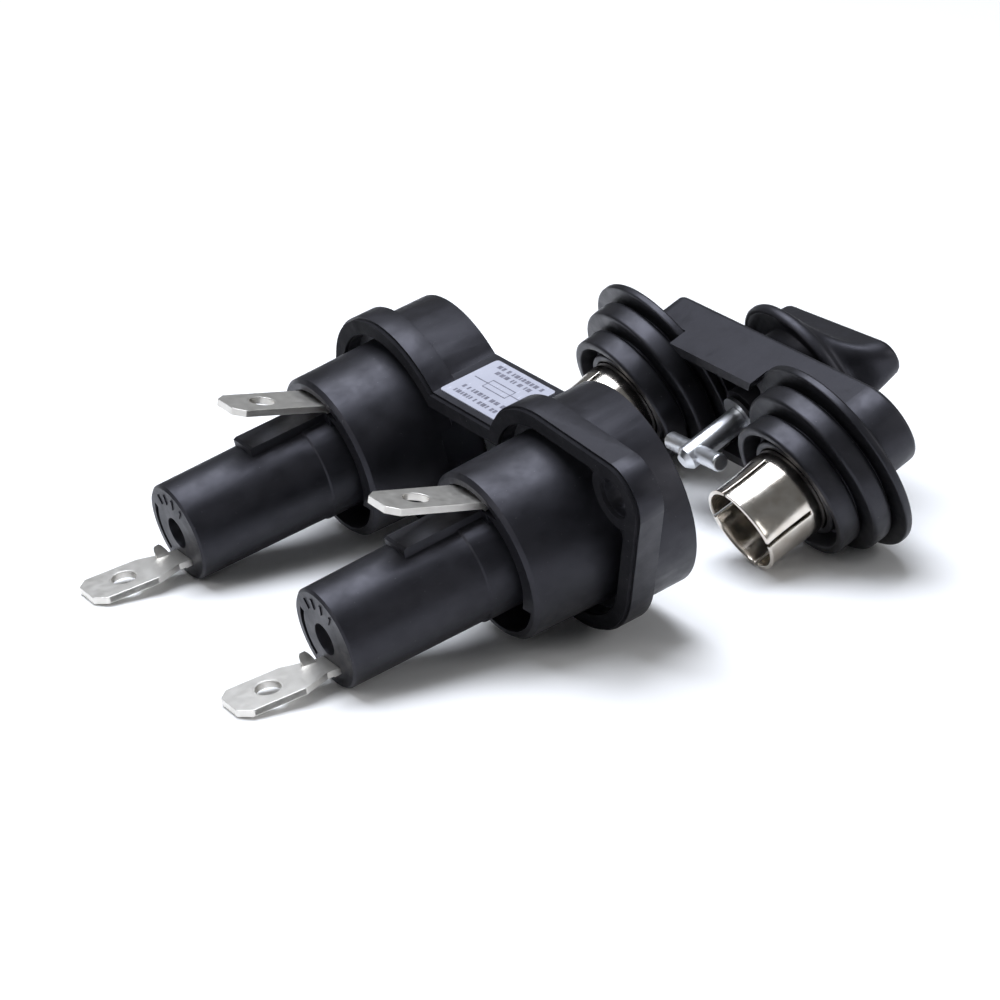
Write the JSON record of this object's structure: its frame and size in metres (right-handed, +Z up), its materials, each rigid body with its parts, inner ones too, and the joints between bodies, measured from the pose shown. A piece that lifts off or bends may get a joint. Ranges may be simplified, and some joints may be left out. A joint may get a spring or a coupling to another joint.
{
  "type": "cartridge fuse holder",
  "caption": "Two-pole panel fuse holder in black plastic with blade terminals, and its quarter-turn fuse carrier with sprung clips and rubber boots.",
  "frame": {"origin": "midway between the two panel screw holes, on the rear face of the gasket", "axes": "+Z up with the pieces lying on a flat surface, +X from the terminals towards the carrier and its knob, +Y towards the far pole; the pole axes are raised 14.2 degrees from +X"},
  "size_m": [0.1001, 0.0754, 0.0286],
  "materials": {
    "housing_plastic": "satin black moulded thermoset",
    "carrier_plastic": "satin black moulded plastic",
    "boot_rubber": "matte black rubber",
    "gasket_rubber": "matte die-cut sponge rubber",
    "label_film": "white film with grey print",
    "tinned_brass": "matte tin plate on brass",
    "spring_bronze": "tin-plated spring bronze",
    "nickel_clip": "bright nickel plate",
    "zinc_steel": "bright zinc plate"
  },
  "bodies": {
    "holder": {"holder_housing": "housing_plastic", "panel_gasket": "gasket_rubber", "rating_label": "label_film", "latch_plate": "zinc_steel", "fuse_tube_near": "housing_plastic", "side_terminal_near": "tinned_brass", "side_contact_near": "spring_bronze", "end_terminal_near": "tinned_brass", "rear_contact_near": "spring_bronze", "fuse_tube_far": "housing_plastic", "side_terminal_far": "tinned_brass", "side_contact_far": "spring_bronze", "end_terminal_far": "tinned_brass", "rear_contact_far": "spring_bronze"},
    "carrier": {"carrier_bridge": "carrier_plastic", "shaft_seal": "boot_rubber", "spring_washer": "zinc_steel", "boot_near": "boot_rubber", "fuse_clip_near": "nickel_clip", "clip_rivet_near": "zinc_steel", "boot_far": "boot_rubber", "fuse_clip_far": "nickel_clip", "clip_rivet_far": "zinc_steel"},
    "knob": {"knob": "carrier_plastic", "latch_shaft": "zinc_steel", "cross_pin": "zinc_steel", "retaining_ring": "zinc_steel"}
  },
  "joints": [
    {"name": "carrier_slide", "type": "slide", "parent": "holder", "child": "carrier", "axis": [1, 0, 0], "range_m": [-0.006, 0.06]},
    {"name": "knob_turn", "type": "hinge", "parent": "carrier", "child": "knob", "pos_m": [0.036, 0.0027, -0.00432], "axis": [0.898, 0, 0.4399], "range_deg": [-86, 4]}
  ]
}
